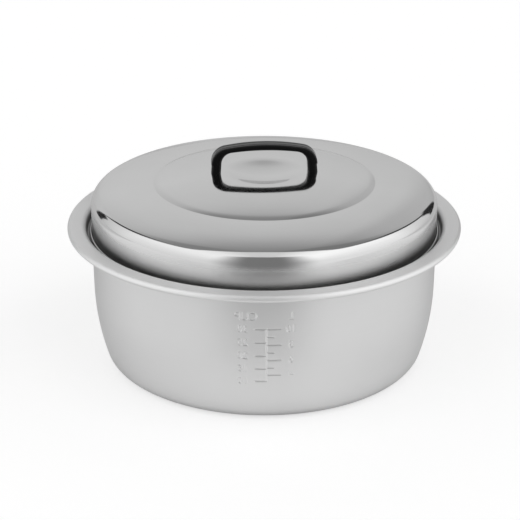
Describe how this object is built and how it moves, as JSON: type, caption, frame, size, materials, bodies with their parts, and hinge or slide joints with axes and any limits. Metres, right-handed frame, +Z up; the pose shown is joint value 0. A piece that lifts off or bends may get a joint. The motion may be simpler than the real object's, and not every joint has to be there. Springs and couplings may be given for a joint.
{
  "type": "rice cooker inner pot with lid",
  "caption": "Wide drawn pot with a rolled flange and a stepped, polished lid with an arched black handle, for cooking and holding rice inside a large rice cooker; the lid lifts off.",
  "frame": {"origin": "middle of the flat face under the pot, where it stands", "axes": "+Z up along the axis of the pot and lid, X along the lid's handle, -Y towards the cook and the level scale"},
  "size_m": [0.4299, 0.43, 0.243],
  "materials": {
    "pot_aluminium": "satin",
    "lid_steel": "polished",
    "handle_black": "semi-gloss moulded resin",
    "cover_black": "semi-gloss moulded resin",
    "insert_brass": "turned",
    "seal_silicone": "matte silicone",
    "fixing_steel": "plain stainless"
  },
  "bodies": {
    "pot": {"inner_pot": "pot_aluminium"},
    "lid": {"lid_shell": "lid_steel", "handle_body": "handle_black", "handle_cover": "cover_black", "threaded_inserts": "insert_brass", "sealing_washers": "seal_silicone", "flat_washers": "fixing_steel", "handle_screws": "fixing_steel"}
  },
  "joints": [
    {"name": "lid_lift", "type": "slide", "parent": "pot", "child": "lid", "axis": [0, 0, 1], "range_m": [0, 0.25]}
  ]
}
